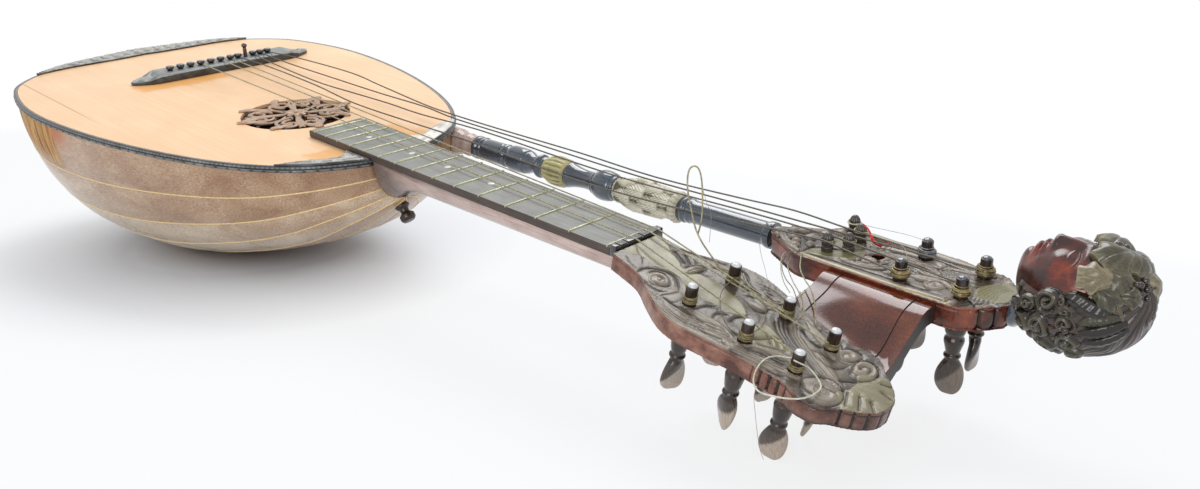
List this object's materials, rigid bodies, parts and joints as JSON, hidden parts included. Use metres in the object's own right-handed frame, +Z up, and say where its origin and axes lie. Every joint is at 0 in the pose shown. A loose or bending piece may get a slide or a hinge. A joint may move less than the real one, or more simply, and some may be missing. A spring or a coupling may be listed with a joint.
{
  "type": "harp guitar",
  "caption": "Bowl-backed harp guitar with flat carved heads, a turned bass pillar, friction pegs, pull-out bridge pins, slack strings and a carved classical head finial.",
  "frame": {"origin": "on the table, under the middle of the instrument's box without its loose strands", "axes": "+X along the instrument toward its heads, +Y toward the bass side, +Z up from the table it lies on"},
  "size_m": [1.0948, 0.3528, 0.1982],
  "materials": {
    "bowl_wood": "french-polished brown hardwood",
    "ebonised": "black-stained, polished",
    "finial_wood": "carved, dark red varnish",
    "fretboard": "worn ebony",
    "gut": "twisted gut",
    "inner_wood": "bare spruce",
    "mahogany": "glossy red-brown varnish",
    "neck_wood": "red-brown varnish",
    "patinated": "carved, grey-gold patina",
    "peg_wood": "turned rosewood",
    "spruce": "varnished spruce, aged amber",
    "wound_string": "tarnished overspun string"
  },
  "bodies": {
    "instrument": {"bass_apron": "ebonised", "bass_head": "patinated", "bass_string_1": "wound_string", "bass_string_2": "wound_string", "bass_string_3": "wound_string", "bass_string_4": "wound_string", "bowl": "bowl_wood", "bridge": "ebonised", "edge_binding": "ebonised", "finial_head": "finial_wood", "fretboard": "fretboard", "guide_post_1": "ebonised", "guide_post_2": "ebonised", "guide_post_3": "ebonised", "guide_post_4": "ebonised", "head_link": "mahogany", "leaf_sleeve": "patinated", "loose_gut_1": "gut", "loose_gut_2": "gut", "main_head": "patinated", "main_string_1": "gut", "main_string_2": "gut", "main_string_3": "gut", "neck": "neck_wood", "neck_block": "inner_wood", "nut": "ebonised", "pillar_base": "ebonised", "pillar_bracket": "neck_wood", "pillar_middle": "ebonised", "pillar_shaft": "ebonised", "reeded_ferrule": "patinated", "rosette": "patinated", "soundboard": "spruce", "strap_button": "mahogany", "tail_apron": "ebonised", "tail_cap": "bowl_wood", "treble_apron": "ebonised", "upper_brace": "inner_wood"},
    "bass_peg_1": {"bass_peg_1": "peg_wood"},
    "bass_peg_2": {"bass_peg_2": "peg_wood"},
    "bass_peg_3": {"bass_peg_3": "peg_wood"},
    "bass_string_peg_1": {"bass_string_peg_1": "peg_wood"},
    "bass_string_peg_2": {"bass_string_peg_2": "peg_wood"},
    "bass_string_peg_3": {"bass_string_peg_3": "peg_wood"},
    "bass_string_peg_4": {"bass_string_peg_4": "peg_wood"},
    "treble_peg_1": {"treble_peg_1": "peg_wood"},
    "treble_peg_2": {"treble_peg_2": "peg_wood"},
    "treble_peg_3": {"treble_peg_3": "peg_wood"},
    "bridge_pin_01": {"bridge_pin_01": "ebonised"},
    "bridge_pin_02": {"bridge_pin_02": "ebonised"},
    "bridge_pin_03": {"bridge_pin_03": "ebonised"},
    "bridge_pin_04": {"bridge_pin_04": "ebonised"},
    "bridge_pin_05": {"bridge_pin_05": "ebonised"},
    "bridge_pin_06": {"bridge_pin_06": "ebonised"},
    "bridge_pin_07": {"bridge_pin_07": "ebonised"},
    "bridge_pin_08": {"bridge_pin_08": "ebonised"},
    "bridge_pin_09": {"bridge_pin_09": "ebonised"},
    "bridge_pin_10": {"bridge_pin_10": "ebonised"},
    "bridge_pin_11": {"bridge_pin_11": "ebonised"},
    "bridge_pin_12": {"bridge_pin_12": "ebonised"}
  },
  "joints": [
    {"name": "bass_peg_1_turn", "type": "hinge", "parent": "instrument", "child": "bass_peg_1", "pos_m": [0.32892, 0.01295, 0.09282], "axis": [0.3001, -0.0921, 0.9494], "continuous": true},
    {"name": "bass_peg_2_turn", "type": "hinge", "parent": "instrument", "child": "bass_peg_2", "pos_m": [0.37088, 0.01332, 0.07959], "axis": [0.3001, -0.0921, 0.9494], "continuous": true},
    {"name": "bass_peg_3_turn", "type": "hinge", "parent": "instrument", "child": "bass_peg_3", "pos_m": [0.40472, 0.01152, 0.06872], "axis": [0.3001, -0.0921, 0.9494], "continuous": true},
    {"name": "bass_string_peg_1_turn", "type": "hinge", "parent": "instrument", "child": "bass_string_peg_1", "pos_m": [0.40717, 0.08274, 0.09619], "axis": [0.0952, -0.0941, 0.991], "continuous": true},
    {"name": "bass_string_peg_2_turn", "type": "hinge", "parent": "instrument", "child": "bass_string_peg_2", "pos_m": [0.40325, 0.12257, 0.10035], "axis": [0.0952, -0.0941, 0.991], "continuous": true},
    {"name": "bass_string_peg_3_turn", "type": "hinge", "parent": "instrument", "child": "bass_string_peg_3", "pos_m": [0.44691, 0.08553, 0.09264], "axis": [0.0952, -0.0941, 0.991], "continuous": true},
    {"name": "bass_string_peg_4_turn", "type": "hinge", "parent": "instrument", "child": "bass_string_peg_4", "pos_m": [0.44396, 0.12267, 0.09645], "axis": [0.0952, -0.0941, 0.991], "continuous": true},
    {"name": "treble_peg_1_turn", "type": "hinge", "parent": "instrument", "child": "treble_peg_1", "pos_m": [0.32854, -0.02886, 0.08889], "axis": [0.3001, -0.0921, 0.9494], "continuous": true},
    {"name": "treble_peg_2_turn", "type": "hinge", "parent": "instrument", "child": "treble_peg_2", "pos_m": [0.37051, -0.0275, 0.07575], "axis": [0.3001, -0.0921, 0.9494], "continuous": true},
    {"name": "treble_peg_3_turn", "type": "hinge", "parent": "instrument", "child": "treble_peg_3", "pos_m": [0.4044, -0.02432, 0.06535], "axis": [0.3001, -0.0921, 0.9494], "continuous": true},
    {"name": "bridge_pin_01_pull", "type": "slide", "parent": "instrument", "child": "bridge_pin_01", "axis": [0.0952, -0.0941, 0.991], "range_m": [0, 0.012]},
    {"name": "bridge_pin_02_pull", "type": "slide", "parent": "instrument", "child": "bridge_pin_02", "axis": [0.0952, -0.0941, 0.991], "range_m": [0, 0.012]},
    {"name": "bridge_pin_03_pull", "type": "slide", "parent": "instrument", "child": "bridge_pin_03", "axis": [0.0952, -0.0941, 0.991], "range_m": [0, 0.012]},
    {"name": "bridge_pin_04_pull", "type": "slide", "parent": "instrument", "child": "bridge_pin_04", "axis": [0.0952, -0.0941, 0.991], "range_m": [0, 0.012]},
    {"name": "bridge_pin_05_pull", "type": "slide", "parent": "instrument", "child": "bridge_pin_05", "axis": [0.0952, -0.0941, 0.991], "range_m": [0, 0.012]},
    {"name": "bridge_pin_06_pull", "type": "slide", "parent": "instrument", "child": "bridge_pin_06", "axis": [0.0952, -0.0941, 0.991], "range_m": [0, 0.012]},
    {"name": "bridge_pin_07_pull", "type": "slide", "parent": "instrument", "child": "bridge_pin_07", "axis": [0.0952, -0.0941, 0.991], "range_m": [0, 0.012]},
    {"name": "bridge_pin_08_pull", "type": "slide", "parent": "instrument", "child": "bridge_pin_08", "axis": [0.0952, -0.0941, 0.991], "range_m": [0, 0.012]},
    {"name": "bridge_pin_09_pull", "type": "slide", "parent": "instrument", "child": "bridge_pin_09", "axis": [0.0952, -0.0941, 0.991], "range_m": [-0.009, 0.006]},
    {"name": "bridge_pin_10_pull", "type": "slide", "parent": "instrument", "child": "bridge_pin_10", "axis": [0.0952, -0.0941, 0.991], "range_m": [0, 0.012]},
    {"name": "bridge_pin_11_pull", "type": "slide", "parent": "instrument", "child": "bridge_pin_11", "axis": [0.0952, -0.0941, 0.991], "range_m": [0, 0.012]},
    {"name": "bridge_pin_12_pull", "type": "slide", "parent": "instrument", "child": "bridge_pin_12", "axis": [0.0952, -0.0941, 0.991], "range_m": [0, 0.012]}
  ]
}
